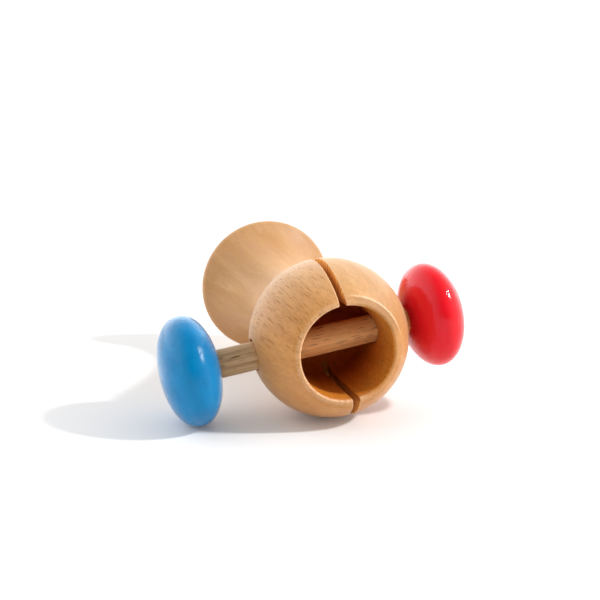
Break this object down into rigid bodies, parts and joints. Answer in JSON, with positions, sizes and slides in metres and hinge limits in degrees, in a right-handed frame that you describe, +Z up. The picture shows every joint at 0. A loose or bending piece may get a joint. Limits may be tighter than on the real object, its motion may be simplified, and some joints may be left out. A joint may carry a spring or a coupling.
{
  "type": "baby rattle",
  "caption": "Turned wooden rattle lying on its side: a hollow round head on a flared handle, with a loose cross bar that slides and spins and knocks its painted discs against the head.",
  "frame": {"origin": "on the ground, under the middle of the whole object's box, as the rattle lies on its side", "axes": "+Z up; -Y the way the mouth of the head faces; +Y along the handle to the flat underside of the base; +X towards the red disc"},
  "size_m": [0.1087, 0.1102, 0.0558],
  "materials": {
    "turned_wood": "satin clear oil on pale, fine-pored hardwood",
    "bar_wood": "bare dowel with lengthwise dark streaks",
    "blue_paint": "gloss blue paint on turned wood",
    "red_paint": "gloss red paint on turned wood"
  },
  "bodies": {
    "handle": {"turned_body": "turned_wood"},
    "bar": {"cross_bar": "bar_wood"},
    "discs": {"blue_disc": "blue_paint", "red_disc": "red_paint"}
  },
  "joints": [
    {"name": "bar_slide", "type": "slide", "parent": "handle", "child": "bar", "axis": [0.9848, 0, 0.1738], "range_m": [-0.0012, 0.0126]},
    {"name": "disc_spin", "type": "hinge", "parent": "bar", "child": "discs", "pos_m": [0.00573, -0.03373, 0.02765], "axis": [0.9848, 0, 0.1738], "continuous": true}
  ]
}
